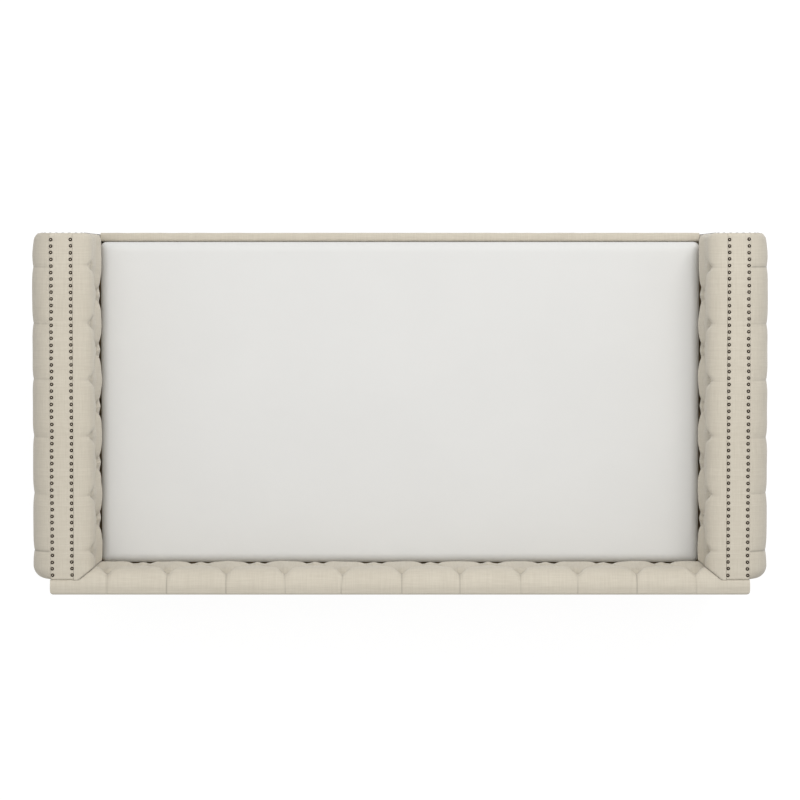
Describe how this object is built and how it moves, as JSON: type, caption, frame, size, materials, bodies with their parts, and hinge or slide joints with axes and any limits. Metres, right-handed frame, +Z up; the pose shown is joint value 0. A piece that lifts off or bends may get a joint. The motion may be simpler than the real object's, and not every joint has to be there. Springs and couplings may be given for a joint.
{
  "type": "tufted daybed",
  "caption": "Twin daybed in light linen with diamond-tufted rolled arms and back, bronze nailhead trim, a low front rail, slats and a white mattress",
  "frame": {"origin": "on the floor under the middle of the daybed's outline", "axes": "+X to the right seen from the front, -Y towards the open front, +Z up"},
  "size_m": [2.2438, 1.103, 0.778],
  "materials": {
    "linen": "light natural linen weave",
    "linen_band": "light natural linen weave, flat strip",
    "nail_bronze": "antique bronze, dark in the hollows",
    "mattress_knit": "smooth white knitted cover",
    "mattress_foam": "open foam",
    "frame_timber": "sawn softwood",
    "plywood": "thin plywood",
    "slat_wood": "planed softwood",
    "dark_wood": "dark stained satin",
    "zinc_steel": "zinc plated",
    "black_plastic": "moulded"
  },
  "bodies": {
    "root": {"arm_bolt_nuts": "zinc_steel", "arm_bolts": "zinc_steel", "back_bottom_rail": "frame_timber", "back_cleat": "frame_timber", "back_inner_panel": "plywood", "back_rear_cover": "linen", "back_seat_rail": "frame_timber", "back_stiles": "frame_timber", "back_top_rail": "frame_timber", "back_tufted_pad": "linen", "bracket_screws": "zinc_steel", "centre_beam": "frame_timber", "crown_nailheads": "nail_bronze", "facing_nailheads": "nail_bronze", "front_cleat": "frame_timber", "front_rail_board": "frame_timber", "front_rail_cover": "linen", "glides": "black_plastic", "left_arm_bottom_rail": "frame_timber", "left_arm_crown_band": "linen_band", "left_arm_front_facing": "linen", "left_arm_front_post": "frame_timber", "left_arm_inner_panel": "plywood", "left_arm_outer_cover": "linen", "left_arm_outer_roll": "linen", "left_arm_rear_post": "frame_timber", "left_arm_roll_rail": "frame_timber", "left_arm_top_rail": "frame_timber", "left_arm_tufted_pad": "linen", "left_back_post": "frame_timber", "left_centre_leg": "dark_wood", "left_deck_side_board": "slat_wood", "left_front_corner_block": "frame_timber", "left_front_leg": "dark_wood", "left_rear_leg": "dark_wood", "leg_bolts": "zinc_steel", "mattress_core": "mattress_foam", "mattress_cover": "mattress_knit", "rail_brackets": "zinc_steel", "right_arm_bottom_rail": "frame_timber", "right_arm_crown_band": "linen_band", "right_arm_front_facing": "linen", "right_arm_front_post": "frame_timber", "right_arm_inner_panel": "plywood", "right_arm_outer_cover": "linen", "right_arm_outer_roll": "linen", "right_arm_rear_post": "frame_timber", "right_arm_roll_rail": "frame_timber", "right_arm_top_rail": "frame_timber", "right_arm_tufted_pad": "linen", "right_back_post": "frame_timber", "right_centre_leg": "dark_wood", "right_deck_side_board": "slat_wood", "right_front_corner_block": "frame_timber", "right_front_leg": "dark_wood", "right_rear_leg": "dark_wood", "slats": "slat_wood", "tuft_buttons": "linen"}
  },
  "joints": []
}
